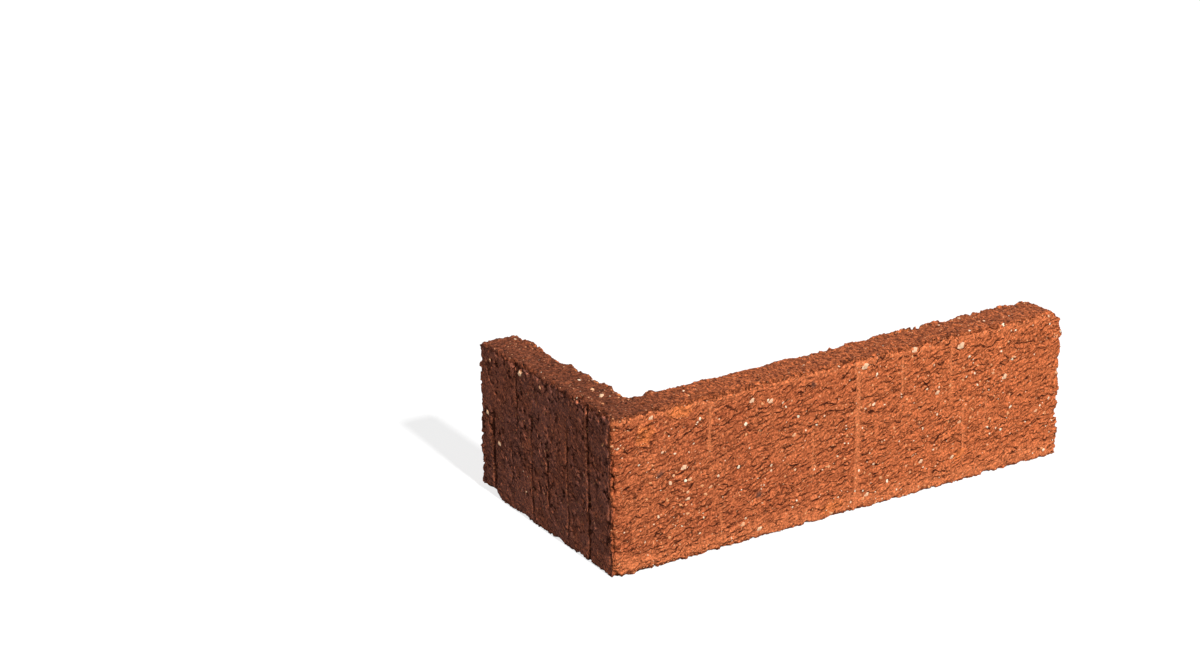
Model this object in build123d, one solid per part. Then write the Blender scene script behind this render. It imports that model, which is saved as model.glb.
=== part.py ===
from build123d import *
import os

# A thin brick corner: one piece of fired clay, L-shaped in plan, that wraps the
# outside corner of a wall so that the thin facing looks like a whole brick.
# Sizes are in millimetres. The long leg runs along X with its face towards -Y,
# the return leg runs along Y with its face towards -X, and Z is up.
# The origin is at the middle of the bounding box's underside.

# Driving sizes of the clay L
LONG_LEG = 193.7
RETURN_LEG = 92.1
HEIGHT = 57.2
THICKNESS = 15.9

# Worn edges
OUTER_CORNER_RADIUS = 1.3
INNER_CORNER_RADIUS = 3.0
END_EDGE_RADIUS = 1.0
TOP_EDGE_RADIUS = 0.9
BED_EDGE_RADIUS = 1.1

# The return's free end is cut a little off square: its top is set back by this much
RETURN_END_LEAN = 1.6

# Shell-shaped breaks in the edges: where each lies as a share of its edge's length,
# how long it is along the edge, and how deep it goes below the sharp edge
SHELL_BREAKS = {
    "inner_return_top": [
        (0.10, 6.0, 0.9), (0.31, 9.0, 1.1), (0.37, 5.0, 1.0), (0.546, 9.0, 2.7), (0.90, 8.0, 1.1),
    ],
    "inner_long_top": [
        (0.115, 9.0, 1.7), (0.20, 7.0, 1.8), (0.29, 13.0, 2.0), (0.385, 8.0, 2.1),
        (0.56, 8.0, 0.9), (0.76, 6.0, 1.1), (0.785, 5.0, 0.9), (0.94, 9.0, 1.1),
    ],
    "front_top": [(0.16, 9.0, 0.9), (0.42, 8.0, 0.9), (0.68, 5.0, 1.5), (0.86, 8.0, 0.9)],
    "front_bottom": [
        (0.20, 9.0, 1.1), (0.31, 6.0, 1.0), (0.47, 10.0, 1.2), (0.61, 7.0, 1.1), (0.83, 8.0, 1.0),
    ],
    "return_top": [(0.27, 8.0, 0.9), (0.74, 9.0, 1.0)],
    "return_bottom": [(0.42, 10.0, 1.1), (0.68, 8.0, 1.0), (0.95, 13.0, 3.2)],
    "inner_long_bottom": [(0.24, 10.0, 1.1), (0.63, 9.0, 1.1), (0.88, 11.0, 1.3)],
    "inner_return_bottom": [(0.38, 9.0, 1.1), (0.82, 10.0, 1.2)],
    "far_front": [
        (0.09, 5.0, 1.1), (0.20, 4.5, 1.0), (0.30, 6.5, 1.4), (0.41, 4.5, 1.0),
        (0.54, 7.5, 1.3), (0.68, 5.0, 0.9), (0.79, 5.0, 1.4), (0.92, 6.0, 1.1),
    ],
    "far_back": [(0.16, 7.0, 1.2), (0.37, 6.0, 1.0), (0.58, 8.0, 1.3), (0.83, 7.0, 1.1)],
    "return_outer": [(0.22, 8.0, 1.1), (0.58, 8.0, 0.9), (0.90, 5.0, 1.1)],
    "return_inner": [(0.22, 8.0, 1.1), (0.66, 9.0, 1.2)],
}

# Strips that flaked off along an edge, which leave a hollow: the middle of each as a
# share of its edge's length, its length, and how deep it goes below the sharp edge
STRIP_BREAKS = {
    "inner_long_top": [(0.237, 56.0, 1.3)],
    "inner_return_top": [(0.62, 15.0, 1.5)],
    "inner_long_bottom": [(0.50, 30.0, 1.1)],
}
STRIP_RADIUS = 5.0

# The knocked-off point where the three outer edges meet at the bed
POINT_BREAK_LENGTH = 9.0
POINT_BREAK_DEPTH = 2.6

# The cutters run on past the solid by this much, and a place is found to this much
OVERRUN = 5.0
NEAR = 0.1

# Drag scores that grit left as the clay was cut from bottom to top: where they lie
# as a share of the leg, their width and depth, and the shares of the height that
# they start and stop at (below 0 or above 1 they run out over the edge)
RETURN_SCORES = [
    (0.045, 1.3, 0.50, 0.06, 0.92), (0.194, 1.5, 0.55, -0.1, 1.1), (0.345, 1.2, 0.40, -0.1, 0.76),
    (0.490, 1.0, 0.35, 0.18, 0.55), (0.612, 1.2, 0.40, 0.05, 0.70), (0.905, 1.3, 0.45, -0.1, 0.47),
]
LONG_SCORES = [
    (0.020, 1.1, 0.35, -0.1, 0.60), (0.200, 1.2, 0.30, 0.62, 1.1), (0.223, 1.0, 0.28, -0.1, 0.27),
    (0.420, 1.0, 0.25, 0.30, 0.62), (0.520, 1.9, 0.30, -0.1, 1.1), (0.620, 1.1, 0.25, 0.72, 1.1),
    (0.735, 1.5, 0.30, 0.55, 1.1), (0.766, 1.2, 0.28, 0.12, 0.60), (0.820, 1.1, 0.25, 0.35, 0.62),
]

# Lips torn across the two outer faces: how far apart their rows are, how far apart they
# are along a row, how far they stay from a leg's ends and from the top and the bed, how
# long and how deep they are at least and at most, how far below a lip its hollow runs
# out, how much a lip hangs over it, and the angle at which the lips of each face climb
# away from the outer corner
TEAR_ROW_PITCH = 7.8
TEAR_SPACING = 14.0
TEAR_END_MARGIN = 10.0
TEAR_EDGE_MARGIN = 8.0
TEAR_LENGTHS = (7.0, 13.0)
TEAR_DEPTHS = (0.55, 0.95)
TEAR_FADE = 4.2
TEAR_OVERHANG = 0.25
LONG_TEAR_CLIMB = 13.0
RETURN_TEAR_CLIMB = 26.0

# Places worked out from the driving sizes
LEFT = -LONG_LEG / 2
RIGHT = LONG_LEG / 2
FRONT = -RETURN_LEG / 2
BACK = RETURN_LEG / 2
INNER_X = LEFT + THICKNESS
INNER_Y = FRONT + THICKNESS


def clay_l():
    """The L in plan, pushed up to its height, with the return's end cut off square."""
    outline = Polyline(
        (LEFT, FRONT), (RIGHT, FRONT), (RIGHT, INNER_Y),
        (INNER_X, INNER_Y), (INNER_X, BACK), (LEFT, BACK),
        close=True,
    )
    solid = extrude(make_face(outline), amount=HEIGHT)
    wedge_side = Polyline((BACK, 0), (BACK, HEIGHT), (BACK - RETURN_END_LEAN, HEIGHT), close=True)
    wedge = extrude(Plane.YZ * make_face(wedge_side), amount=LONG_LEG / 2 + OVERRUN, both=True)
    return solid - wedge


def upright_edges(solid, x, y):
    """The edge that climbs the whole height at this corner of the plan, give or take the end's lean."""
    return [
        e for e in solid.edges()
        if e.bounding_box().size.Z > HEIGHT - NEAR
        and abs(e.center().X - x) < NEAR
        and abs(e.center().Y - y) < RETURN_END_LEAN + NEAR
    ]


def eased(solid):
    """Uprights first, so that the top and the bed are each one smooth loop to round."""
    for x, y, radius in (
        (LEFT, FRONT, OUTER_CORNER_RADIUS),
        (INNER_X, INNER_Y, INNER_CORNER_RADIUS),
        (RIGHT, FRONT, END_EDGE_RADIUS),
        (RIGHT, INNER_Y, END_EDGE_RADIUS),
        (LEFT, BACK, END_EDGE_RADIUS),
        (INNER_X, BACK, END_EDGE_RADIUS),
    ):
        solid = fillet(upright_edges(solid, x, y), radius)
    top = solid.faces().sort_by(Axis.Z)[-1]
    solid = fillet(top.edges(), TOP_EDGE_RADIUS)
    bed = solid.faces().sort_by(Axis.Z)[0]
    return fillet(bed.edges(), BED_EDGE_RADIUS)


def sharp_edges():
    """Each sharp edge of the plain L: its start, its run along it, and the way into the clay."""
    along_long = Vector(LONG_LEG, 0, 0)
    along_return = Vector(0, RETURN_LEG, 0)
    inner_long = Vector(LONG_LEG - THICKNESS, 0, 0)
    inner_return = Vector(0, RETURN_LEG - THICKNESS, 0)
    upright = Vector(0, 0, HEIGHT)
    leaning = Vector(0, -RETURN_END_LEAN, HEIGHT)
    return {
        "front_top": (Vector(LEFT, FRONT, HEIGHT), along_long, Vector(0, 1, -1)),
        "front_bottom": (Vector(LEFT, FRONT, 0), along_long, Vector(0, 1, 1)),
        "return_top": (Vector(LEFT, FRONT, HEIGHT), along_return, Vector(1, 0, -1)),
        "return_bottom": (Vector(LEFT, FRONT, 0), along_return, Vector(1, 0, 1)),
        "inner_long_top": (Vector(INNER_X, INNER_Y, HEIGHT), inner_long, Vector(0, -1, -1)),
        "inner_long_bottom": (Vector(INNER_X, INNER_Y, 0), inner_long, Vector(0, -1, 1)),
        "inner_return_top": (Vector(INNER_X, INNER_Y, HEIGHT), inner_return, Vector(-1, 0, -1)),
        "inner_return_bottom": (Vector(INNER_X, INNER_Y, 0), inner_return, Vector(-1, 0, 1)),
        "far_front": (Vector(RIGHT, FRONT, 0), upright, Vector(-1, 1, 0)),
        "far_back": (Vector(RIGHT, INNER_Y, 0), upright, Vector(-1, -1, 0)),
        "return_outer": (Vector(LEFT, BACK, 0), leaning, Vector(1, -1, 0)),
        "return_inner": (Vector(INNER_X, BACK, 0), leaning, Vector(-1, -1, 0)),
    }


def shell_break(point, inward, length, depth):
    """A ball that dips to a depth below a point of an edge and is that long along it."""
    radius = (length**2 / 4 + depth**2) / (2 * depth)
    centre = point - inward.normalized() * (radius - depth)
    return Pos(*centre) * Sphere(radius)


def round_bar(radius, bottom, top):
    """A bar on the Z axis whose ends are half balls, beyond its bottom and its top."""
    side = Line((radius, bottom), (radius, top))
    upper = RadiusArc((radius, top), (0, top + radius), -radius)
    spine = Line((0, top + radius), (0, bottom - radius))
    lower = RadiusArc((0, bottom - radius), (radius, bottom), -radius)
    return revolve(Plane.XZ * make_face(Curve() + [side, upper, spine, lower]), Axis.Z)


def strip_break(point, run, inward, length, depth):
    """A round bar laid along an edge, that dips to a depth below it."""
    centre = point - inward.normalized() * (STRIP_RADIUS - depth)
    return Plane(origin=centre, z_dir=run) * round_bar(STRIP_RADIUS, -length / 2, length / 2)


def breaks():
    """Every chipped place of the edges, and the knocked-off point at the bed."""
    edges = sharp_edges()
    cutters = []
    for name, places in STRIP_BREAKS.items():
        start, run, inward = edges[name]
        for share, length, depth in places:
            cutters.append(strip_break(start + run * share, run, inward, length, depth))
    for name, places in SHELL_BREAKS.items():
        start, run, inward = edges[name]
        for share, length, depth in places:
            cutters.append(shell_break(start + run * share, inward, length, depth))
    point = Vector(LEFT, FRONT, 0)
    cutters.append(shell_break(point, Vector(1, 1, 1), POINT_BREAK_LENGTH, POINT_BREAK_DEPTH))
    return cutters


def score(width, depth, low, high):
    """A bar that scores an upright groove of this width and depth into a face at Y = 0."""
    radius = (width**2 / 4 + depth**2) / (2 * depth)
    return Pos(0, depth - radius, 0) * round_bar(radius, low * HEIGHT, high * HEIGHT)


def scores():
    """The drag marks on the two outer faces."""
    cutters = []
    for share, width, depth, low, high in LONG_SCORES:
        cutters.append(Pos(LEFT + share * LONG_LEG, FRONT, 0) * score(width, depth, low, high))
    for share, width, depth, low, high in RETURN_SCORES:
        place = Pos(LEFT, FRONT + share * RETURN_LEG, 0) * Rot(0, 0, -90)
        cutters.append(place * score(width, depth, low, high))
    return cutters


def spread(number, stride):
    """The place from 0 to 1 of a number in a sequence that fills the range evenly."""
    return number * stride % 1


def tear(length, depth, lean, climb):
    """A pyramid that points into a face at Y = 0. It bites under a lip and slopes out below it."""
    tip = Vector(lean * length / 2, depth, -TEAR_OVERHANG)
    lip_start = Vector(-length / 2, 0, 0)
    lip_end = Vector(length / 2, 0, 0)
    foot = Vector(lean * length / 2, 0, -TEAR_FADE)
    base = [tip + (corner - tip) * 2 for corner in (lip_start, lip_end, foot)]
    sides = [base, (base[1], base[0], tip), (base[2], base[1], tip), (base[0], base[2], tip)]
    pyramid = Solid(Shell([Face(Wire.make_polygon(side)) for side in sides]))
    return Rot(0, -climb, 0) * pyramid


def torn_places(leg):
    """Where the lips of a face lie along its leg and up it, their lengths, depths and leans."""
    columns = round((leg - 2 * TEAR_END_MARGIN) / TEAR_SPACING) + 1
    rows = round((HEIGHT - 2 * TEAR_EDGE_MARGIN) / TEAR_ROW_PITCH) + 1
    shortest, longest = TEAR_LENGTHS
    shallowest, deepest = TEAR_DEPTHS
    for number in range(columns * rows):
        column = (number // rows + 0.6 * spread(number, 0.618) - 0.3) / (columns - 1)
        row = (number % rows + 0.6 * spread(number, 0.755) - 0.3) / (rows - 1)
        along = TEAR_END_MARGIN + min(max(column, 0), 1) * (leg - 2 * TEAR_END_MARGIN)
        up = TEAR_EDGE_MARGIN + min(max(row, 0), 1) * (HEIGHT - 2 * TEAR_EDGE_MARGIN)
        length = shortest + (longest - shortest) * spread(number, 0.57)
        depth = shallowest + (deepest - shallowest) * spread(number, 0.43)
        yield along, up, (length, depth, spread(number, 0.35) - 0.5)


def tears():
    """The main lips torn in the two outer faces."""
    cutters = []
    for along, up, form in torn_places(LONG_LEG):
        cutters.append(Pos(LEFT + along, FRONT, up) * tear(*form, LONG_TEAR_CLIMB))
    for along, up, form in torn_places(RETURN_LEG):
        place = Pos(LEFT, FRONT + along, up) * Rot(0, 0, -90)
        cutters.append(place * tear(*form, -RETURN_TEAR_CLIMB))
    return cutters


def thin_brick_corner():
    return eased(clay_l()) - (tears() + scores() + breaks())


os.makedirs("parts", exist_ok=True)
brick = thin_brick_corner()
export_step(brick, "parts/thin_brick_corner.step")
print("volume", round(brick.volume), "mm3, solids", len(brick.solids()), "faces", len(brick.faces()))
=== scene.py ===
from itertools import combinations
from math import cos, pi, radians, sin

import bmesh
import bpy
from mathutils import Matrix, Vector


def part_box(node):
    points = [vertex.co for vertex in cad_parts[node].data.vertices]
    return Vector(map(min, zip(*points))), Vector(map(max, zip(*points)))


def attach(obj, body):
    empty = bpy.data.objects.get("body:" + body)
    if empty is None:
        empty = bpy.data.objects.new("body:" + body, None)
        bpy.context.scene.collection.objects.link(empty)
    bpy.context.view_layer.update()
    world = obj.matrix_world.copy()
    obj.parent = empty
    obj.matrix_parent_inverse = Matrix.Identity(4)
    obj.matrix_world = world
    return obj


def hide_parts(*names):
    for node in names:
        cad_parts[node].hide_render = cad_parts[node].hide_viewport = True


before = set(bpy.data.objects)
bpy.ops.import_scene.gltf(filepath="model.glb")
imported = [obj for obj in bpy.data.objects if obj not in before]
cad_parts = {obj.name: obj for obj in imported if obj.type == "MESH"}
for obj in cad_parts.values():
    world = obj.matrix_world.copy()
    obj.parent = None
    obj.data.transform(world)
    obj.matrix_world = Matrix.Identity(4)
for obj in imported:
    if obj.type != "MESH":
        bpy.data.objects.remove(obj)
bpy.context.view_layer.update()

# The camera
# It looks at the outer corner from the front left, a little from above, with the
# unit low and to the right in the picture. Everything is in metres.
PHOTO_WIDTH = 1200
SENSOR_WIDTH = 36.0
FOCAL_LENGTH_IN_PIXELS = 2258.2
CAMERA_AIM = Vector((-0.00644, 0.11104, 0.02667))
CAMERA_DISTANCE = 0.9141
CAMERA_AZIMUTH = radians(-30.89)
CAMERA_ELEVATION = radians(19.43)
CAMERA_ROLL = radians(-1.19)

back = Vector((
    sin(CAMERA_AZIMUTH) * cos(CAMERA_ELEVATION),
    -cos(CAMERA_AZIMUTH) * cos(CAMERA_ELEVATION),
    sin(CAMERA_ELEVATION),
))
level_right = (-back).cross(Vector((0, 0, 1))).normalized()
level_up = back.cross(level_right)
right = cos(CAMERA_ROLL) * level_right + sin(CAMERA_ROLL) * level_up
up = cos(CAMERA_ROLL) * level_up - sin(CAMERA_ROLL) * level_right
turn = Matrix((right, up, back)).transposed().to_4x4()

camera = bpy.data.objects.new("camera", bpy.data.cameras.new("camera"))
camera.data.sensor_width = SENSOR_WIDTH
camera.data.lens = FOCAL_LENGTH_IN_PIXELS * SENSOR_WIDTH / PHOTO_WIDTH
camera.data.clip_start = 0.01
camera.matrix_world = Matrix.Translation(CAMERA_AIM + back * CAMERA_DISTANCE) @ turn
bpy.context.scene.collection.objects.link(camera)
bpy.context.scene.camera = camera

# The clay body
# One L of coarse fired clay. Its two outer faces were scraped from bed to top while
# the clay was soft, which tore them into short lips that lie across the stroke and
# left upright drag marks. The top and bed are sandy, and the inner faces plainer.
NODE = "thin_brick_corner"
MM = 0.001
VOXEL = 0.31 * MM
BODY_TRIANGLES = 194000

# Sizes are in millimetres from here to the stones. The clay's thickness, how deep under a face
# its marks fade out and are whole, and how near an edge crumbling starts and is whole
THICKNESS = 15.9
SKIN_DEEP, SKIN_SHALLOW = 1.6, 0.3
EDGE_FAR, EDGE_NEAR = 2.6, 0.4

# How steeply the lips of each outer face climb away from the outer corner
LONG_RISE = 0.17
RETURN_RISE = 0.50

# How much of the lips' height each face shows, and how far they hang down
LONG_LIPS = 0.6
RETURN_LIPS = 0.7
INNER_LIPS = 0.5
RETURN_END_LIPS = 0.6
LIP_SAG = 0.3

# Drag marks: place along the leg from the outer corner, width, lowest and highest point
LONG_MARKS = [
    (100.7, 3.4, 0, 58), (120.1, 2.2, 40, 58), (142.4, 2.2, 32, 54), (148.4, 1.8, 7, 34),
    (158.8, 1.8, 20, 36), (43.2, 2.0, 0, 15), (38.7, 2.0, 36, 55), (81.4, 1.6, 17, 35),
]
RETURN_MARKS = [
    (3.4, 1.7, 4, 52), (17.9, 2.1, 0, 58), (31.8, 1.1, 4, 44), (45.1, 1.6, 10, 31),
    (56.4, 1.2, 3, 40), (70.5, 1.0, 12, 26), (83.3, 2.0, 0, 34), (66.0, 1.0, 30, 52),
]
# How deep the return's marks, short cracks and comb marks go, and how high a mark is filled again
MARK_DEPTH = 0.4
CRACK_DEPTH = 0.5
COMB_DEPTH = 0.4
FILL_HEIGHT = 0.3

# How deep the pits go, how high the sandy crumbs and the far end's lumps stand, how deep the
# edges broke away, and how far the inner edges are jagged
PIT_DEPTH = 0.8
CRUMB_HEIGHT = 1.6
END_LUMP_HEIGHT = 5.0
BIG_BITE_DEPTH = 1.5
SMALL_BITE_DEPTH = 0.7
CHIP_DEPTH = 1.3
JAG_DEPTH = 3.2
INNER_TOP_LIFT = 0.4
KNOCKED_REACH = 4.2
KNOCKED_SHARE = 0.55

# How far the outer faces' clay is drawn sideways and up in waves, and how far the return's
# surface is drawn towards the outer corner, where the real one's marks lie
SWAY = 2.2
RETURN_SWAY = 1.5
HEAVE = 3.0
RETURN_DRAWN = 2.2

# Iron spots on the long face: place along it, height and radius
IRON_SPOTS = [
    (17.9, 33.5, 1.3), (19.4, 34.6, 0.8), (58.5, 16.3, 1.2), (81.1, 52.2, 1.1), (128.0, 27.0, 0.7),
]
# Bright orange stains on the long face: place along it, height, and how far each reaches
# along the face and up it
ORANGE_STAINS = [
    (27.0, 54.5, 6.0, 2.6), (13.0, 49.0, 4.0, 4.0), (90.0, 4.5, 6.0, 2.6), (147.0, 11.0, 3.0, 2.4),
]

low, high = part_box(NODE)
LEFT, FRONT = low.x / MM, low.y / MM
RIGHT, BACK, TOP = high.x / MM, high.y / MM, high.z / MM


def join(value, socket):
    """Links a field to a node's input, or sets the input to a plain value."""
    if isinstance(value, Field):
        value.tree.links.new(value.socket, socket)
    else:
        socket.default_value = value


def node(tree, kind, inputs=None, **settings):
    """A new node with its settings, and its inputs joined or set."""
    made = tree.nodes.new(kind)
    for name, value in settings.items():
        setattr(made, name, value)
    for key, value in (inputs or {}).items():
        join(value, made.inputs[key])
    return made


class Field:
    """A value that changes over a surface, held by a node's output, so that sums read as sums."""

    def __init__(self, socket):
        self.socket = socket
        self.tree = socket.id_data

    def math(self, operation, *values):
        """A Math node of this operation on the values, or on this field alone."""
        inputs = dict(enumerate(values or (self,)))
        return Field(node(self.tree, "ShaderNodeMath", inputs, operation=operation).outputs[0])

    def __add__(self, other):
        return self.math("ADD", self, other)

    def __sub__(self, other):
        return self.math("SUBTRACT", self, other)

    def __rsub__(self, other):
        return self.math("SUBTRACT", other, self)

    def __mul__(self, other):
        return self.math("MULTIPLY", self, other)

    def __truediv__(self, other):
        return self.math("DIVIDE", self, other)

    def __rtruediv__(self, other):
        return self.math("DIVIDE", other, self)

    def __pow__(self, other):
        return self.math("POWER", self, other)

    def or_more(self, other):
        return self.math("MAXIMUM", self, other)

    def or_less(self, other):
        return self.math("MINIMUM", self, other)

    def step(self, start, end, at_start=0.0, at_end=1.0):
        """A smooth step between two values of this field, held beyond them."""
        inputs = {0: self, 1: start, 2: end, 3: at_start, 4: at_end}
        made = node(self.tree, "ShaderNodeMapRange", inputs, interpolation_type="SMOOTHSTEP")
        return Field(made.outputs[0])

    def parts(self):
        """The three parts of a vector field."""
        return [Field(part) for part in node(self.tree, "ShaderNodeSeparateXYZ", {0: self}).outputs]

    def plus(self, other):
        """A vector field with another added."""
        inputs = {0: self, 1: other}
        return Field(node(self.tree, "ShaderNodeVectorMath", inputs, operation="ADD").outputs[0])

    def times(self, factor):
        """A vector field made longer or shorter."""
        inputs = {0: self, 3: factor}
        return Field(node(self.tree, "ShaderNodeVectorMath", inputs, operation="SCALE").outputs[0])

    def noise(self, size, detail=2.0, roughness=0.5, seed=0.0):
        """Soft noise, mostly 0.3 to 0.7, in lumps of about this size."""
        elsewhere = self.plus((seed * 31.7, seed * 17.3, seed * 5.9))
        inputs = {"Vector": elsewhere, "Scale": 1 / size, "Detail": detail, "Roughness": roughness}
        return Field(node(self.tree, "ShaderNodeTexNoise", inputs).outputs[0])

    def length(self):
        """How long a vector field is at each point."""
        made = node(self.tree, "ShaderNodeVectorMath", {0: self}, operation="LENGTH")
        return Field(made.outputs["Value"])

    def cells(self, size):
        """Cells of about this size: how far a point is from its cell's middle, and the cell's
        two chances, 0 to 1."""
        made = node(self.tree, "ShaderNodeTexVoronoi", {"Vector": self, "Scale": 1 / size}, feature="F1")
        return [Field(made.outputs[0])] + Field(made.outputs[1]).parts()[:2]


def vector(x, y, z=0.0):
    """A vector field from its three parts."""
    tree = next(part.tree for part in (x, y, z) if isinstance(part, Field))
    return Field(node(tree, "ShaderNodeCombineXYZ", {0: x, 1: y, 2: z}).outputs[0])


def most(*fields):
    """The largest of several fields at each point."""
    largest, *others = fields
    for field in others:
        largest = largest.or_more(field)
    return largest


class Group:
    """A node group in the making: its inputs as fields, and its results by name."""

    def __init__(self, name, kind, inputs, results, result_type="NodeSocketFloat"):
        self.tree = bpy.data.node_groups.new(name, kind)
        for label, value in inputs.items():
            socket_type = value if isinstance(value, str) else "NodeSocketFloat"
            socket = self.tree.interface.new_socket(label, in_out="INPUT", socket_type=socket_type)
            if socket_type == "NodeSocketFloat":
                socket.default_value = value
        for label in results:
            self.tree.interface.new_socket(label, in_out="OUTPUT", socket_type=result_type)
        self.given = [Field(socket) for socket in self.tree.nodes.new("NodeGroupInput").outputs[:-1]]
        self.ending = self.tree.nodes.new("NodeGroupOutput")

    def give(self, **results):
        for label, value in results.items():
            join(value, self.ending.inputs[label])
        return self.tree


def use(group, **inputs):
    """A group placed in the tree of its inputs: its results as fields."""
    tree = next(value.tree for value in inputs.values() if isinstance(value, Field))
    made = node(tree, tree.bl_idname.replace("Tree", "Group"), node_tree=group)
    for label, value in inputs.items():
        join(value, made.inputs[label])
    return [Field(socket) for socket in made.outputs]


def torn_lips(kind):
    """Rows of lips torn across the stroke. A row wanders up and down and comes and goes along
    its length. It stands out at its lower edge, over a gap where its shadow is painted, and falls back
    above."""
    group = Group("torn_lips", kind, {
        "along": 0.0, "up": 0.0, "rise": 0.25, "pitch": 2.4, "run": 7.0, "wander": 2.4,
        "opening": 0.4, "seed": 0.0,
    }, ("height", "gap"))
    along, up, rise, pitch, run, wander, opening, seed = group.given
    level = up - along * rise
    over = vector(along / run, level / pitch * 0.22, seed * 3.7)
    phase = level / pitch + (over.noise(1.0, 3.0, 0.55) - 0.5) * wander
    row = phase.math("FLOOR")
    climb = phase - row

    def strength(of_row):
        return vector(along / run * 1.3, of_row * 9.7, seed).noise(1.0, 1.0, 0.6).step(0.42, 0.62)

    ragged = over.noise(0.35, 1.0, 0.6, seed=2.0) - 0.5
    start = 1.0 - opening / pitch
    gap = (climb + ragged * 0.3).step(start - 0.06, start + 0.06) * strength(row + 1.0)
    return group.give(height=(1.0 - climb) ** 1.3 * strength(row), gap=gap)


def lips_of_body(lips):
    """The tears that all faces share: coarse lips with finer ones between them."""
    inputs = {"place": "NodeSocketVector", "rise": LONG_RISE}
    group = Group("lips_of_body", lips.bl_idname, inputs, ("height", "gap"))
    place, rise = group.given
    x, y, z = place.parts()
    along = x + y - (LEFT + FRONT)
    coarse, coarse_gap = use(
        lips, along=along, up=z, rise=rise, pitch=3.1, run=9.0, wander=3.4, opening=0.46, seed=3.0,
    )
    fine, fine_gap = use(
        lips, along=along, up=z, rise=rise + 0.1, pitch=1.8, run=6.0, wander=3.0, opening=0.38, seed=6.0,
    )
    return group.give(height=coarse * 0.50 + fine * 0.26, gap=coarse_gap.or_more(fine_gap * 0.9) * 1.1)


def drag_marks(along, up, marks):
    """Upright marks: 1 along their middles, and fading to their sides and past their two ends."""
    sway = (vector(along, up / 4.0).noise(2.2, 4.0, 0.75) - 0.5) * 2.4
    found = []
    for middle, width, lowest, highest in marks:
        offset = along - middle + sway
        across = (offset.math("ABSOLUTE") / width).step(0.5, 0.15)
        found.append(across * (up - lowest).step(-2.0, 2.0) * (highest - up).step(-2.0, 2.0))
    return most(*found)


def crevices(along, up):
    """Short cracks of the return face that lean away from the corner, in clusters."""
    seed = 19.0
    steep = vector((along * 0.86 - up * 0.5) / 2.6, (along * 0.5 + up * 0.86) / 6.5, seed)
    line = (steep.noise(1.0, 3.0, 0.65) - 0.48).math("ABSOLUTE").step(0.045, 0.020)
    broken = vector(along / 3.6, up / 3.6, seed).noise(1.0, 2.0, 0.6).step(0.50, 0.56)
    clusters = vector(along / 13.0, up / 10.0, seed).noise(1.0, 2.0, 0.5).step(0.40, 0.52)
    return line * broken * clusters * up.step(3.0, 12.0)


class Spot:
    """A point of the surface: how far in it lies from each side of the L, and how much it
    belongs to each face, 1 at the face and less in the clay behind it."""

    def __init__(self, place, normal):
        self.place = place
        self.x, self.y, self.z = place.parts()
        facing_right, facing_back, self.facing_up = normal.parts()
        self.to_left, self.to_front = self.x - LEFT, self.y - FRONT
        self.to_right, self.to_back, self.to_top = RIGHT - self.x, BACK - self.y, TOP - self.z
        skin = (SKIN_DEEP, SKIN_SHALLOW)
        self.long_face = self.to_front.step(*skin)
        self.return_face = self.to_left.step(*skin)
        self.scraped = self.long_face.or_more(self.return_face)
        self.flat_face = self.to_top.or_less(self.z).step(*skin)
        self.far_end = self.to_right.step(2.6, 0.6)
        self.return_end = self.to_back.step(4.5, 2.2)
        inner_long = (THICKNESS - self.to_front).step(*skin) * facing_back.step(0.3, 0.8)
        inner_return = (THICKNESS - self.to_left).step(*skin) * facing_right.step(0.3, 0.8)
        self.inner_face = inner_long.or_more(inner_return)


def torn_clay(spot, long_mark, still):
    """How torn each place is: in bands on the outer faces, and in patches on the inner ones."""
    calm = spot.to_top.step(0.8, 3.5, 0.45, 1.0) * (1.0 - long_mark * 0.9)
    band = vector(spot.to_left, spot.z / 14.0).noise(5.0, 2.0, 0.5, seed=4.0).step(0.34, 0.56, 0.5, 1.0)
    combed = vector(spot.to_left, spot.z / 20.0).noise(1.6, 2.0, 0.5, seed=7.0)
    combed = combed.step(0.34, 0.50, 0.45, 1.0)
    foot = spot.z.step(2.0, 8.0, 0.3, 1.0).or_more(spot.to_left.step(75.0, 40.0))
    patches = spot.place.noise(13.0, 3.0, 0.55, seed=12.0).step(0.44, 0.58, 0.1, 0.7)
    return most(
        spot.long_face * band * combed * foot * calm, spot.return_face * still * calm,
        spot.inner_face * patches, spot.far_end, spot.return_end * 0.15,
    )


def return_scars(spot, still):
    """The return's drag marks, partly filled again, its short cracks, and the comb marks of the
    scraper's exit under its top edge: how deep they go, and how much painted shade lies in them."""
    along, up = spot.to_front, spot.z
    mark = drag_marks(along, up, RETURN_MARKS) * spot.return_face
    filled = vector(along / 9.0, up / 5.0).noise(1.0, 3.0, 0.7, seed=29.0).step(0.46, 0.58) * mark
    cracks = crevices(along, up) * spot.return_face
    comb = vector(along / 2.2, up / 6.0).noise(1.0, 3.0, 0.7, seed=14.0).step(0.45, 0.38)
    comb = comb * spot.to_top.step(8.0, 2.0) * still * spot.return_face
    depth = comb * COMB_DEPTH + cracks * CRACK_DEPTH + mark * MARK_DEPTH - filled * FILL_HEIGHT
    return depth, most(comb * 0.9, cracks * 0.9, mark - filled * 0.6)


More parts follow.
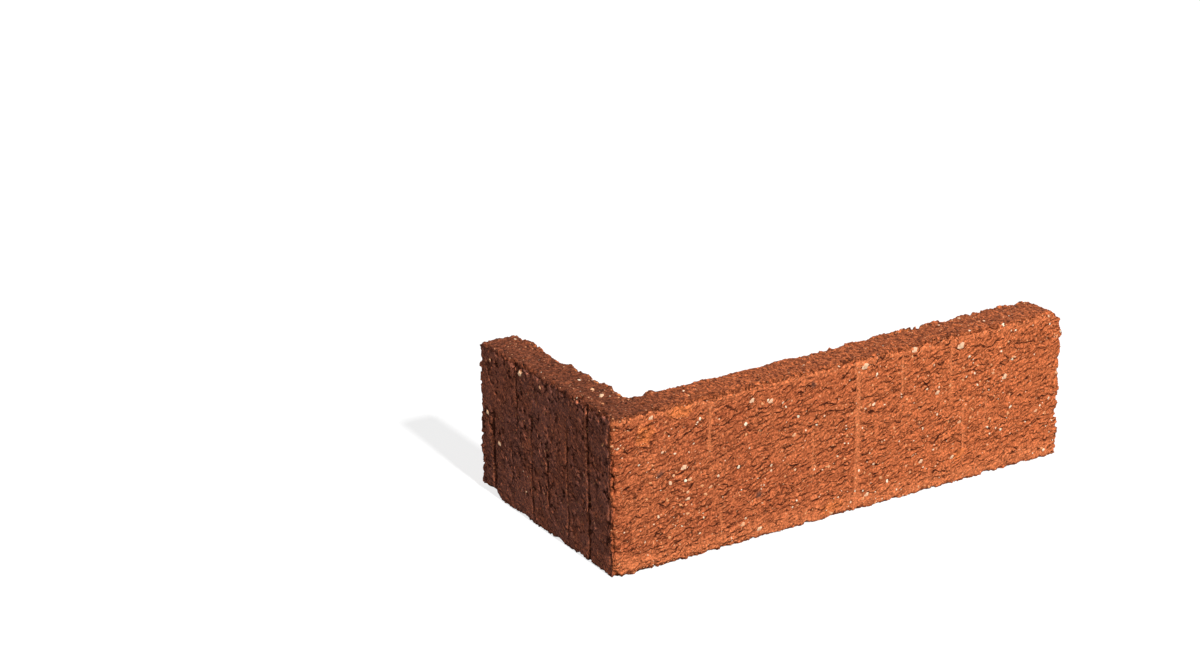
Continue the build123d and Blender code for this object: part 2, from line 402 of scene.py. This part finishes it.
class BrokenEdges:
    """Where the L's inner edges run, and what broke away along all its edges."""

    def __init__(self, spot, edge_crumble):
        band = (EDGE_FAR, EDGE_NEAR)
        past = (THICKNESS - EDGE_FAR, THICKNESS - EDGE_NEAR)
        self.inner_long = (THICKNESS - spot.to_front).step(*band) * spot.to_left.step(*past)
        self.inner_return = (THICKNESS - spot.to_left).step(*band) * spot.to_front.step(*past)
        inner = self.inner_long.or_more(self.inner_return)
        near = [
            spot.to_front.step(*band), spot.to_left.step(*band), spot.to_top.step(*band),
            spot.z.step(*band) * 0.45, spot.to_right.step(3.2, 0.6), spot.to_back.step(5.0, 2.2) * 0.6,
            inner,
        ]
        edge = most(*(first * second for first, second in combinations(near, 2)))
        self.inner_top = inner * spot.to_top.step(3.0, 0.5)
        big_bites = spot.place.noise(4.2, 4.0, 0.65, seed=21.0).step(0.52, 0.66)
        small_bites = spot.place.noise(1.7, 2.0, 0.6, seed=23.0).step(0.48, 0.62)
        small_bites = small_bites * (1.0 - self.inner_top * 0.7)
        bites = big_bites * BIG_BITE_DEPTH + small_bites * SMALL_BITE_DEPTH
        self.crumble = edge * bites * edge_crumble
        chipped = vector(spot.x, spot.y).noise(6.0, 2.0, 0.55, seed=31.0).step(0.49, 0.54)
        self.chips = chipped * self.inner_top
        self.fresh = self.chips.or_more(edge * big_bites * self.inner_top)
        jagged = (spot.place.noise(5.0, 2.0, 0.5, seed=36.0) - 0.47) * spot.to_top.step(4.0, 0.5)
        self.jags = jagged * JAG_DEPTH


def iron_spots(spot):
    """Stains round grains of iron, which have no height."""
    ragged = (spot.place.noise(0.9) - 0.5) * 1.4
    return most(*(
        (vector(spot.to_left - along, spot.z - up).length() / radius + ragged).step(1.1, 0.6)
        for along, up, radius in IRON_SPOTS
    )) * spot.long_face


def body_relief():
    """The whole relief, laid over the plain form. Each outer face's lips move it straight out,
    and what all faces share moves along the surface's direction."""
    group = Group("body_relief", "GeometryNodeTree", {
        "geometry": "NodeSocketGeometry", "wave depth": 0.35, "lump depth": 0.9, "grain depth": 0.4,
        "edge crumble": 1.0, "clay": "NodeSocketMaterial",
    }, ("geometry",), "NodeSocketGeometry")
    shape, wave_depth, lump_depth, grain_depth, edge_crumble, clay = group.given
    tree = group.tree
    place = Field(tree.nodes.new("GeometryNodeInputPosition").outputs[0]).times(1 / MM)
    normal = Field(tree.nodes.new("GeometryNodeInputNormal").outputs[0])
    spot = Spot(place, normal)
    long_face, return_face, scraped = spot.long_face, spot.return_face, spot.scraped
    edges = BrokenEdges(spot, edge_crumble)

    # Where the clay tore, and how far its lips stand out
    on_return = spot.to_front.step(0.5, 3.0) * spot.to_left.step(60.0, 30.0)
    rise = on_return * (RETURN_RISE - LONG_RISE) + LONG_RISE
    height = use(lips_of_body(torn_lips("GeometryNodeTree")), place=place, rise=rise)[0]
    long_mark = drag_marks(spot.to_left, spot.z, LONG_MARKS) * long_face
    still = vector(spot.to_front / 30.0, spot.z / 22.0).noise(1.0, 2.0, 0.5, seed=8.0)
    still = still.step(0.38, 0.56, 0.1, 0.8)
    torn = torn_clay(spot, long_mark, still)
    lift = height * torn
    scars, scar_shade = return_scars(spot, still)

    # Waves, lumps and grain everywhere, crumbs of sand on the top and bed, and pits
    wave = (place.noise(17.0, 2.0, 0.5, seed=3.0) - 0.5) * wave_depth
    calmed = 1.0 - long_face * 0.5 - return_face.or_more(spot.return_end) * 0.6 - spot.flat_face * 0.2
    lumps = (place.noise(2.8, 4.0, 0.65, seed=3.0) - 0.5) * lump_depth * calmed
    grain = (place.noise(1.1, 2.0, 0.6, seed=3.0) - 0.5) * grain_depth * (1.0 - return_face * 0.5)
    crumbs = (place.noise(2.2, 3.0, 0.8, seed=51.0) - 0.5) * spot.flat_face * CRUMB_HEIGHT
    from_middle, chance = place.cells(4.5)[:2]
    pits = (from_middle - chance.step(0.72, 1.0, 0.0, 0.26)).step(0.02, -0.08)
    pits = pits * (1.0 - scraped.or_more(spot.inner_face) * 0.8)
    end_lumps = vector(spot.y / 9.0, spot.z / 7.0).noise(1.0, 2.0, 0.6, seed=44.0)
    end_lumps = (end_lumps - 0.46) * spot.far_end
    shared = wave + lumps + grain + crumbs
    shared = shared + lift * (spot.inner_face * INNER_LIPS + spot.return_end * RETURN_END_LIPS)
    shared = shared - pits * PIT_DEPTH - edges.crumble

    # How far each point moves along each axis, besides what it moves along the surface's direction
    knocked = (KNOCKED_REACH - spot.to_right - spot.to_top).or_more(0.0) * KNOCKED_SHARE
    sway = (place.noise(5.0, 3.0, 0.6, seed=16.0) - 0.5) * SWAY
    heave = (place.noise(3.5, 3.0, 0.6, seed=26.0) - 0.5) * scraped * HEAVE
    drawn = return_face * spot.to_front.step(1.0, 4.5) * spot.to_back.step(1.0, 12.0) * RETURN_DRAWN
    own_x = lift * (spot.far_end - return_face * RETURN_LIPS) + scars * return_face
    own_x = own_x + end_lumps * END_LUMP_HEIGHT + edges.jags * edges.inner_return
    own_x = own_x - knocked + sway * long_face
    own_y = edges.jags * edges.inner_long - lift * long_face * LONG_LIPS
    own_y = own_y + sway * return_face * RETURN_SWAY - drawn
    own_z = edges.inner_top * INNER_TOP_LIFT - lift * scraped * LIP_SAG - edges.chips * CHIP_DEPTH
    own_z = own_z - knocked + heave
    push = vector(own_x, own_y, own_z).plus(normal.times(shared))

    # What the material needs: painted shade in pits, scars, under the solid's own lips and among crumbs
    # Painted shade where the surface faces down under a lip
    under_lips = spot.facing_up.step(-0.25, -0.6) * scraped * spot.z.step(2.5, 4.0)
    dark = most(pits, scar_shade, under_lips * 0.7, crumbs * -1.8)
    for name, kind, value in (
        ("rest", "FLOAT_VECTOR", place), ("rise", "FLOAT", rise), ("torn", "FLOAT", torn),
        ("mark", "FLOAT", long_mark), ("dark", "FLOAT", dark), ("iron", "FLOAT", iron_spots(spot)),
        ("long_face", "FLOAT", long_face), ("return_face", "FLOAT", return_face),
        ("flat_face", "FLOAT", spot.flat_face), ("inner_face", "FLOAT", spot.inner_face),
        ("fresh", "FLOAT", edges.fresh),
    ):
        inputs = {"Geometry": shape, "Name": name, "Value": value}
        stored = node(tree, "GeometryNodeStoreNamedAttribute", inputs, data_type=kind, domain="POINT")
        shape = Field(stored.outputs[0])
    moved = node(tree, "GeometryNodeSetPosition", {"Geometry": shape, "Offset": push.times(MM)})
    whole = node(tree, "GeometryNodeRealizeInstances", {"Geometry": Field(moved.outputs[0])})
    inputs = {"Geometry": Field(whole.outputs[0]), "Material": clay}
    dressed = node(tree, "GeometryNodeSetMaterial", inputs)
    return group.give(geometry=Field(dressed.outputs[0]))


def grit_finish():
    """Coarse grit in a fired body: its fine roughness, its pores, which carry painted shade, and its
    pale crumbs.
    """
    group = Group("grit_finish", "ShaderNodeTree", {
        "place": "NodeSocketVector", "grain": 0.5,
    }, ("height", "pores", "crumbs", "shade"))
    place, grain = group.given
    grains = place.times(1.0 / grain)
    rough = grains.noise(1.8, 3.0, 0.75, seed=6.0)
    shade = grains.noise(1.6, 3.0, 0.85, seed=9.0)
    hole, hole_chance, hole_size = grains.cells(2.2)
    pores = (hole - hole_size * 0.34).step(0.08, -0.06) * hole_chance.step(0.55, 0.62)
    bit, bit_chance, bit_size = grains.plus((3.0, 3.0, 3.0)).cells(2.0)
    crumbs = (bit - bit_size * 0.36).step(0.08, -0.06) * bit_chance.step(0.80, 0.86)
    height = rough * 0.22 - pores * 0.25 + crumbs * 0.12
    return group.give(height=height, pores=pores, crumbs=crumbs, shade=shade)


def blend(factor, first, second):
    """The first colour where the factor is 0, and the second where it is 1."""
    inputs = {0: factor, 6: first, 7: second}
    return Field(node(factor.tree, "ShaderNodeMix", inputs, data_type="RGBA").outputs[2])


# The long face: red to orange-red clay, orange and lighter towards the far end, partly painted light
# falloff, with paler and darker mottles, painted highlights on the lips' crests, pale drag marks, paler
# edge bands and stains
RED_CLAY = (0.42, 0.099, 0.037, 1)
ORANGE_RED_CLAY = (0.52, 0.138, 0.051, 1)
FAR_ORANGE_AND_PAINTED_LIGHT = (0.70, 0.177, 0.058, 1)
PALE_MOTTLE = (0.66, 0.180, 0.066, 1)
DARK_MOTTLE = (0.30, 0.066, 0.026, 1)
# A painted highlight for the lips' crests, also the pale colour of the drag marks
CREST_HIGHLIGHT_AND_MARK = (0.76, 0.240, 0.092, 1)
PALE_EDGE_BAND = (0.70, 0.200, 0.074, 1)
ORANGE_STAIN = (0.80, 0.215, 0.055, 1)


def long_face_colour(place, patches, mottle, crest_highlight_and_mark):
    """Patches and mottles first, then the painted highlights on the crests and the pale drag marks, the
    paler edge bands and the stains.
    """
    x, y, z = place.parts()
    colour = blend(patches, RED_CLAY, ORANGE_RED_CLAY)
    # Orange and lighter towards the far end: partly the clay, partly painted light falloff
    colour = blend((x - LEFT).step(20.0, 170.0) * 0.75, colour, FAR_ORANGE_AND_PAINTED_LIGHT)
    colour = blend(mottle * 0.4, colour, PALE_MOTTLE)
    colour = blend((1.0 - mottle) * 0.25, colour, DARK_MOTTLE)
    # Painted highlight on the lips' crests, and pale drag marks
    colour = blend(crest_highlight_and_mark * 0.6, colour, CREST_HIGHLIGHT_AND_MARK)
    # Paler along the bed and along the top edge
    edge_bands = z.step(10.0, 3.0).or_more((TOP - z).step(4.0, 1.0))
    colour = blend(edge_bands * 0.7, colour, PALE_EDGE_BAND)
    stained = most(*(
        (vector((x - (LEFT + along)) / wide, (z - up) / deep).length() - mottle * 0.5).step(0.8, 0.3)
        for along, up, wide, deep in ORANGE_STAINS
    ))
    return blend(stained * 0.55, colour, ORANGE_STAIN)


# The return face: browner clay greyed by a painted sheen, with darker mottles, orange grains with
# painted glints, and a painted orange highlight along the lit side of its drag marks
# The return's browner colours, greyed by a painted sheen
BROWN_CLAY_WITH_SHEEN = (0.38, 0.144, 0.106, 1)
RED_CLAY_WITH_SHEEN = (0.47, 0.150, 0.090, 1)
DARK_BROWN_MOTTLE = (0.30, 0.096, 0.060, 1)
ORANGE_GLINT_GRAIN = (0.90, 0.240, 0.090, 1)
# A painted highlight on the lit wall of each drag mark, and how far to its side it lies
MARK_WALL_HIGHLIGHT = (0.86, 0.250, 0.110, 1)
LIT_WALL_SIDE = 1.1


def return_face_colour(place, patches, mottle, shade, streaks):
    """Patches and mottles first, then the grains with painted glints, and the painted highlight beside
    the marks.
    """
    x, y, z = place.parts()
    colour = blend(patches, BROWN_CLAY_WITH_SHEEN, RED_CLAY_WITH_SHEEN)
    colour = blend((1.0 - mottle) * 0.3, colour, DARK_BROWN_MOTTLE)
    # Orange grains with painted glints of grazing light
    colour = blend((shade - 0.5).step(0.07, 0.12) * 0.65, colour, ORANGE_GLINT_GRAIN)
    # Painted highlight on the lit side of the return's drag marks
    lit_mark_walls = drag_marks(y - (FRONT + LIT_WALL_SIDE), z, RETURN_MARKS) * streaks.step(0.44, 0.56)
    return blend(lit_mark_walls * 0.55, colour, MARK_WALL_HIGHLIGHT)


# The top and the bed: coarse sandy clay, dark and pale, brown and painted darker over the return,
# and rosy along the long leg
SHADED_BROWN_SAND = ((0.072, 0.018, 0.009, 1), (0.20, 0.055, 0.025, 1))
ROSY_SAND = ((0.18, 0.042, 0.015, 1), (0.53, 0.137, 0.046, 1))


def flat_face_colour(place):
    """The sand's two shades at each place, and the change from brown, painted darker, to rosy along the
    unit.
    """
    x, y, z = place.parts()
    coarse = vector(x, y / 1.6, z).noise(1.5, 3.0, 0.75, seed=4.0).step(0.40, 0.60)
    # Browner and painted darker over the return, as light falling off away from the far end
    return blend((x - LEFT).step(6.0, 38.0), blend(coarse, *SHADED_BROWN_SAND), blend(coarse, *ROSY_SAND))


# The inner faces: dark to pale ochre clay, with redder spots
OCHRE_CLAY = ((0.44, 0.130, 0.034, 1), (0.70, 0.240, 0.066, 1))
OCHRE_SPOT = (0.76, 0.180, 0.074, 1)


def inner_face_colour(place, mottle):
    """The mottled ochre, with its spots."""
    spots = place.noise(2.6, 3.0, 0.7, seed=43.0).step(0.56, 0.62)
    return blend(spots * 0.8, blend(mottle, *OCHRE_CLAY), OCHRE_SPOT)


# What shows on all faces: fresh breaks, bared grains, iron, painted shadow in gaps and painted shade in
# pores
FRESH_BREAK = (0.74, 0.240, 0.070, 1)
BARED_GRAIN = (0.86, 0.275, 0.105, 1)
IRON_STAIN = (0.10, 0.062, 0.050, 1)
# Painted shadow for the gaps under lips, cracks and scars, and painted shade for the pores
GAP_SHADOW = (0.045, 0.010, 0.005, 1)
PORE_SHADE = (0.075, 0.019, 0.009, 1)
PALE_CRUMB = (0.86, 0.40, 0.20, 1)


def fired_clay():
    """Orange-red where scraped, browner with a painted sheen on the return, browner and painted darker
    on the top beside it, ochre inside the corner, painted shadow in the tears and painted shade in the
    pores, and painted highlights on the lips and paler edges."""
    made = bpy.data.materials.new("fired_clay")
    made.use_nodes = True
    tree = made.node_tree
    shader = tree.nodes["Principled BSDF"]
    shader.inputs["Roughness"].default_value = 0.92
    shader.inputs["Specular IOR Level"].default_value = 0.06

    def kept(name, output="Fac"):
        return Field(node(tree, "ShaderNodeAttribute", attribute_name=name).outputs[output])

    # What the relief kept for each point, and the fine tears and grit that fit it
    place = kept("rest", "Vector")
    x, y, z = place.parts()
    rise, torn, mark, dark, iron = kept("rise"), kept("torn"), kept("mark"), kept("dark"), kept("iron")
    long_face, return_face = kept("long_face"), kept("return_face")
    flat_face, inner_face, fresh = kept("flat_face"), kept("inner_face"), kept("fresh")
    lips = torn_lips("ShaderNodeTree")
    lip, lip_gap = use(lips_of_body(lips), place=place, rise=rise)
    hair, hair_gap = use(
        lips, along=x + y, up=z, rise=0.28, pitch=1.3, run=3.2, wander=3.0, opening=0.36, seed=31.0,
    )
    height, pores, crumbs, shade = use(grit_finish(), place=place)
    level = z - (x + y - (LEFT + FRONT)) * rise
    streaks = vector((x + y) / 2.4, level, (x - y) / 2.4).noise(1.0, 3.0, 0.85, seed=41.0)

    # The clay's colour, face by face. The long face's crests get a painted highlight, and its drag marks
    # are pale
    patches = place.noise(13.0, 3.0, 0.6, seed=2.0).step(0.36, 0.64)
    mottle = place.noise(1.9, 3.0, 0.7, seed=4.0).step(0.36, 0.66)
    crest_highlight_and_mark = (lip * torn).step(0.25, 0.65) * 0.45 + mark * 0.8
    colour = long_face_colour(place, patches, mottle, crest_highlight_and_mark)
    # Where the return's colours with their painted sheen take over, a little in from the outer corner
    sheened_return = (return_face + (mottle - 0.5) * 0.3).step(0.5, 0.7) * (y - FRONT).step(1.0, 3.6)
    colour = blend(sheened_return, colour, return_face_colour(place, patches, mottle, shade, streaks))
    bed_or_top = (flat_face + (mottle - 0.5) * 0.7).step(0.35, 0.65)
    colour = blend(bed_or_top * 0.9, colour, flat_face_colour(place))
    to_edge = z.or_less(TOP - z).or_less(RIGHT - x).or_less(BACK - y)
    border = (to_edge + (patches - 0.5) * 6.0 + (mottle - 0.5) * 3.0).step(7.0, 3.0)
    colour = blend(inner_face * (1.0 - border * 0.85), colour, inner_face_colour(place, mottle))

    # Fresh breaks, bared grains, streaks along the lips and iron
    colour = blend(fresh * mottle.step(0.2, 0.6), colour, FRESH_BREAK)
    colour = blend((shade - 0.5).step(0.02, 0.14) * long_face * 0.3, colour, BARED_GRAIN)
    grainy = (shade - 0.5) * (flat_face * 2.4 + 3.4)
    colour = colour.times(grainy + (streaks - 0.5) * (1.5 - return_face * 1.1) + 1.0)
    colour = blend(iron * 0.85, colour, IRON_STAIN)

    # Painted shadow under the lips, painted shade in cracks, scores, pits and pores, and the pale crumbs
    # of grit
    opened = torn.step(0.05, 0.5) * (1.0 - inner_face * 0.6)
    fine_gap = hair_gap * (0.8 - return_face * 0.5)
    # Painted shade in the return's scores and cracks
    split_shade = drag_marks(y - FRONT, z, RETURN_MARKS).step(0.25, 0.75) * streaks.step(0.44, 0.52)
    split_shade = split_shade.or_more(crevices(y - FRONT, z)) * return_face
    # Painted shade in the inner faces' cracks, which have no depth
    cracked = place.noise(9.0, 2.0, 0.5, seed=46.0).step(0.42, 0.54)
    cracks = vector(x / 2.0, y / 2.0, z).noise(1.4, 3.0, 0.7, seed=47.0).step(0.43, 0.38)
    cracks = cracks * cracked * inner_face
    gap = most(lip_gap * opened, fine_gap * opened, dark, cracks * 0.9, split_shade).or_less(1.0)
    # Painted shadow under the lips and painted shade in cracks, scores and pits
    colour = blend(gap * 0.95, colour, GAP_SHADOW)
    # Painted shade in the pores
    colour = blend(pores * 0.85, colour, PORE_SHADE)
    colour = blend(crumbs * 0.8, colour, PALE_CRUMB)
    tree.links.new(colour.socket, shader.inputs["Base Color"])

    relief = (height + (lip * 0.3 + hair * 0.25) * torn) * (1.0 - return_face * 0.6)
    bump = node(tree, "ShaderNodeBump", {"Strength": 1.0, "Distance": MM, "Height": relief})
    tree.links.new(bump.outputs[0], shader.inputs["Normal"])
    return made


def set_inputs(modifier, values):
    """Sets a modifier's inputs by their sockets' identifiers."""
    for item in modifier.node_group.interface.items_tree:
        if item.item_type == "SOCKET" and item.in_out == "INPUT" and item.name in values:
            modifier[item.identifier] = values[item.name]


def made_plain(piece):
    """The piece with its modifiers turned into one plain mesh."""
    bpy.context.view_layer.update()
    depsgraph = bpy.context.evaluated_depsgraph_get()
    finished = bpy.data.meshes.new_from_object(
        piece.evaluated_get(depsgraph), preserve_all_data_layers=True, depsgraph=depsgraph,
    )
    piece.modifiers.clear()
    piece.data = finished
    finished.name = piece.name
    return piece


def clay_body():
    """The solid's own mesh, joined up, made even, given its relief and thinned out."""
    shape = bmesh.new()
    shape.from_mesh(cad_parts[NODE].data)
    bmesh.ops.remove_doubles(shape, verts=shape.verts, dist=1e-6)
    mesh = bpy.data.meshes.new("clay_body")
    shape.to_mesh(mesh)
    shape.free()
    piece = bpy.data.objects.new("clay_body", mesh)
    bpy.context.scene.collection.objects.link(piece)

    even = piece.modifiers.new("even_mesh", "REMESH")
    even.mode = "VOXEL"
    even.voxel_size = VOXEL
    even.use_smooth_shade = True
    relief = piece.modifiers.new("relief", "NODES")
    relief.node_group = body_relief()
    set_inputs(relief, {"clay": fired_clay()})
    made_plain(piece)

    thin = piece.modifiers.new("thin_out", "DECIMATE")
    thin.ratio = BODY_TRIANGLES / (2 * len(piece.data.polygons))
    made_plain(piece)
    piece.data.shade_smooth()
    return piece


body = clay_body()
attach(body, "root")
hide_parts(NODE)

# Grit in the clay
# Crushed fired clay and quartz that were mixed in to open the body. The scraper
# bared them on the long face: hundreds of small pale stones and a few large ones.
STONE_ROUNDS = 2
STONE_FLATNESS = 0.45
STONE_SHAPES = 4
CRUSHED_CLAY = (0.86, 0.38, 0.160, 1)
QUARTZ = (1.0, 0.90, 0.66, 1)
DUSTY_STONE = (0.66, 0.28, 0.12, 1)

# Large stones, in millimetres: place on the face from the outer corner and the bed, and size.
# On the top, the places are along the long leg and along the return
LONG_STONES = [
    (146.2, 53.0, 2.5), (103.4, 54.0, 2.2), (167.2, 36.6, 1.9), (136.0, 37.2, 1.6), (55.5, 51.9, 1.7),
    (58.9, 3.7, 1.7), (27.9, 34.0, 1.7), (63.3, 50.0, 1.5), (29.6, 21.8, 1.6), (143.6, 10.5, 1.4),
    (129.3, 12.2, 1.4), (105.1, 5.2, 1.4), (30.3, 29.2, 1.3), (51.8, 7.1, 1.3), (38.7, 24.3, 1.2),
    (183.0, 19.8, 1.2), (146.7, 23.6, 1.3), (73.2, 35.3, 1.2), (15.2, 54.7, 1.4), (125.2, 55.6, 1.8),
]
RETURN_STONES = [(60.5, 54.3, 2.0), (85.6, 31.8, 1.5), (77.5, 22.4, 1.4), (47.2, 53.7, 1.1)]
TOP_STONES = [(8.7, 20.4, 1.6), (9.1, 27.1, 1.3)]


def chosen_places():
    """Points at the large stones' places, each with its size, that exist only while they are laid."""
    places = [((LEFT + along, FRONT, up), size) for along, up, size in LONG_STONES]
    places += [((LEFT, FRONT + along, up), size) for along, up, size in RETURN_STONES]
    places += [((LEFT + along, FRONT + across, TOP), size) for along, across, size in TOP_STONES]
    mesh = bpy.data.meshes.new("places")
    mesh.from_pydata([Vector(place) * MM for place, size in places], [], [])
    sizes = mesh.attributes.new("size", "FLOAT", "POINT")
    for entry, (place, size) in zip(sizes.data, places):
        entry.value = size
    piece = bpy.data.objects.new("places", mesh)
    bpy.context.scene.collection.objects.link(piece)
    return piece


def grit():
    """Stones strewn over a surface and pressed into it, with chosen larger ones among them."""
    group = Group("grit", "GeometryNodeTree", {
        "surface": "NodeSocketGeometry", "chosen": "NodeSocketObject", "per square metre": 46000.0,
        "smallest": 0.35, "largest": 1.15, "seed": 1.0, "stone": "NodeSocketMaterial",
    }, ("geometry",), "NodeSocketGeometry")
    surface, chosen, density, smallest, largest, seed, stone = group.given
    tree = group.tree

    def made(kind, inputs=None, output=0, **settings):
        return Field(node(tree, kind, inputs, **settings).outputs[output])

    def chance(lowest, highest, salt):
        inputs = {2: lowest, 3: highest, "Seed": salt}
        return made("FunctionNodeRandomValue", inputs, 1, data_type="FLOAT")

    def kept(name, kind):
        return made("GeometryNodeInputNamedAttribute", {"Name": name}, 0, data_type=kind)

    def store(geometry, name, kind, value, domain="POINT"):
        inputs = {"Geometry": geometry, "Name": name, "Value": value}
        return made("GeometryNodeStoreNamedAttribute", inputs, data_type=kind, domain=domain)

    place = made("GeometryNodeInputPosition").times(1 / MM)
    clusters = place.noise(16.0, 2.0, 0.5, seed=5.0).step(0.40, 0.60, 0.35, 1.5)
    bared = kept("long_face", "FLOAT").step(0.0, 1.0, 0.08, 1.0) + kept("flat_face", "FLOAT") * 0.20
    inputs = {"Mesh": surface, "Density": density * bared * clusters, "Seed": seed}
    strewn = node(tree, "GeometryNodeDistributePointsOnFaces", inputs, distribute_method="RANDOM")
    size = smallest + (largest - smallest) * chance(0.0, 1.0, 5) ** 2.6
    strewn_points = store(Field(strewn.outputs["Points"]), "size", "FLOAT", size)
    strewn_points = store(strewn_points, "turn", "QUATERNION", Field(strewn.outputs["Rotation"]))

    outline = made("GeometryNodeObjectInfo", {"Object": chosen}, "Geometry")
    nearest = made("GeometryNodeProximity", {"Geometry": surface}, "Position", target_element="FACES")
    inputs = {"Mesh": surface, "Value": made("GeometryNodeInputNormal")}
    outward = made("GeometryNodeSampleNearestSurface", inputs, data_type="FLOAT_VECTOR")
    chosen_points = made("GeometryNodeMeshToPoints", {"Mesh": outline})
    chosen_turn = made("FunctionNodeAlignRotationToVector", {"Vector": outward}, axis="Z")
    chosen_points = store(chosen_points, "turn", "QUATERNION", chosen_turn)
    chosen_points = made("GeometryNodeSetPosition", {"Geometry": chosen_points, "Position": nearest})

    points = node(tree, "GeometryNodeJoinGeometry")
    for source in (strewn_points, chosen_points):
        tree.links.new(source.socket, points.inputs[0])

    shapes = node(tree, "GeometryNodeJoinGeometry")
    for variant in range(STONE_SHAPES):
        ball = made("GeometryNodeMeshIcoSphere", {"Radius": 0.5 * MM, "Subdivisions": STONE_ROUNDS})
        point = made("GeometryNodeInputPosition")
        chipped = (point.times(1 / MM).noise(0.6, 1.0, 0.5, seed=3.0 + variant) - 0.5) * 2.4
        broken = made("GeometryNodeSetPosition", {"Geometry": ball, "Offset": point.times(chipped)})
        tree.links.new(made("GeometryNodeGeometryToInstance", {0: broken}).socket, shapes.inputs[0])

    spin = made("FunctionNodeAxisAngleToRotation", {"Axis": (0, 0, 1), "Angle": chance(0.0, 2 * pi, 8)})
    inputs = {0: kept("turn", "QUATERNION"), 1: spin}
    turn = made("FunctionNodeRotateRotation", inputs, rotation_space="LOCAL")
    scale = vector(chance(0.7, 1.05, 6), chance(0.85, 1.4, 7), STONE_FLATNESS)
    scale = scale.times(kept("size", "FLOAT"))
    stones = made("GeometryNodeInstanceOnPoints", {
        "Points": Field(points.outputs[0]), "Instance": Field(shapes.outputs[0]), "Pick Instance": True,
        "Rotation": turn, "Scale": scale,
    })
    tint = chance(0.0, 1.0, 9).or_more(kept("size", "FLOAT").step(1.1, 1.4, 0.0, 0.65))
    stones = store(stones, "tint", "FLOAT", tint, "INSTANCE")
    whole = made("GeometryNodeRealizeInstances", {"Geometry": stones})
    faceted = made("GeometryNodeSetShadeSmooth", {"Geometry": whole, "Shade Smooth": False})
    return group.give(geometry=made("GeometryNodeSetMaterial", {"Geometry": faceted, "Material": stone}))


def pale_stone():
    """Matt broken stone: peach for crushed fired clay, and near white for quartz."""
    made = bpy.data.materials.new("pale_stone")
    made.use_nodes = True
    tree = made.node_tree
    shader = tree.nodes["Principled BSDF"]
    shader.inputs["Roughness"].default_value = 0.8
    shader.inputs["Specular IOR Level"].default_value = 0.3
    place = Field(tree.nodes.new("ShaderNodeTexCoord").outputs["Object"]).times(1 / MM)
    tint = Field(node(tree, "ShaderNodeAttribute", attribute_name="tint").outputs["Fac"])
    height, *others, shade = use(bpy.data.node_groups["grit_finish"], place=place, grain=0.4)
    colour = blend(tint.step(0.35, 1.0), CRUSHED_CLAY, QUARTZ)
    colour = blend((0.5 - shade).step(0.0, 0.2) * 0.3, colour, DUSTY_STONE)
    tree.links.new(colour.socket, shader.inputs["Base Color"])
    bump = node(tree, "ShaderNodeBump", {"Strength": 0.5, "Distance": MM, "Height": height})
    tree.links.new(bump.outputs[0], shader.inputs["Normal"])
    return made


chosen = chosen_places()
stones = bpy.data.objects.new("pale_grit", body.data.copy())
bpy.context.scene.collection.objects.link(stones)
strewing = stones.modifiers.new("strewing", "NODES")
strewing.node_group = grit()
set_inputs(strewing, {"chosen": chosen, "stone": pale_stone()})
made_plain(stones)
bpy.data.objects.remove(chosen)
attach(stones, "root")

# The floor and the light
# A plain white floor, one key light from straight in front of the long face, a weak
# even light all round, and a soft one from behind for the inner faces. The floor's
# radius is in metres.
KEY_ELEVATION = radians(36)
KEY_AZIMUTH = radians(2)
KEY_STRENGTH = 3.4
LAMP_ANGLE = radians(4)
FILL = 0.16
BACK_ELEVATION = radians(28)
BACK_AZIMUTH = radians(140)
BACK_STRENGTH = 1.6
FLOOR_RADIUS = 6.0
FLOOR_SEEN = (0.38, 0.38, 0.38, 1)
FLOOR_BOUNCE = (0.20, 0.20, 0.20, 1)
FLOOR_GLOW = 0.70


def seen_directly(tree):
    """1 for the rays that see the background, and 0 for the ones that light things."""
    rays = tree.nodes.new("ShaderNodeLightPath")
    camera_ray, glossy_ray, through_ray = (
        Field(rays.outputs[name]) for name in ("Is Camera Ray", "Is Glossy Ray", "Is Transmission Ray")
    )
    return camera_ray.or_more(glossy_ray).or_more(through_ray)


def floor():
    made = bpy.data.materials.new("floor")
    made.use_nodes = True
    tree = made.node_tree
    tree.nodes.clear()
    seen = seen_directly(tree)
    matt = node(tree, "ShaderNodeBsdfDiffuse", {"Color": blend(seen, FLOOR_BOUNCE, FLOOR_SEEN)})
    glow = node(tree, "ShaderNodeEmission", {"Strength": seen * FLOOR_GLOW})
    both = node(tree, "ShaderNodeAddShader", {0: Field(matt.outputs[0]), 1: Field(glow.outputs[0])})
    node(tree, "ShaderNodeOutputMaterial", {"Surface": Field(both.outputs[0])})

    mesh = bpy.data.meshes.new("floor")
    shape = bmesh.new()
    bmesh.ops.create_circle(shape, cap_ends=True, segments=96, radius=FLOOR_RADIUS)
    shape.to_mesh(mesh)
    shape.free()
    piece = bpy.data.objects.new("floor", mesh)
    bpy.context.scene.collection.objects.link(piece)
    mesh.materials.append(made)
    return piece


floor()


def lamp(name, strength, elevation, azimuth):
    """A far lamp. Its azimuth is measured from straight in front of the long face."""
    made = bpy.data.objects.new(name, bpy.data.lights.new(name, "SUN"))
    made.data.energy = strength
    made.data.angle = LAMP_ANGLE
    made.rotation_euler = (pi / 2 - elevation, 0, azimuth)
    bpy.context.scene.collection.objects.link(made)
    return made


lamp("key", KEY_STRENGTH, KEY_ELEVATION, -KEY_AZIMUTH)
lamp("back", BACK_STRENGTH, BACK_ELEVATION, BACK_AZIMUTH).data.use_shadow = False

world = bpy.data.worlds.new("studio")
bpy.context.scene.world = world
world.use_nodes = True
sky = world.node_tree
sky.nodes.clear()
strength = seen_directly(sky).step(0.0, 1.0, FILL, 1.0)
light = node(sky, "ShaderNodeBackground", {"Color": (1, 1, 1, 1), "Strength": strength})
node(sky, "ShaderNodeOutputWorld", {"Surface": Field(light.outputs[0])})

bpy.context.scene.view_settings.view_transform = "Standard"
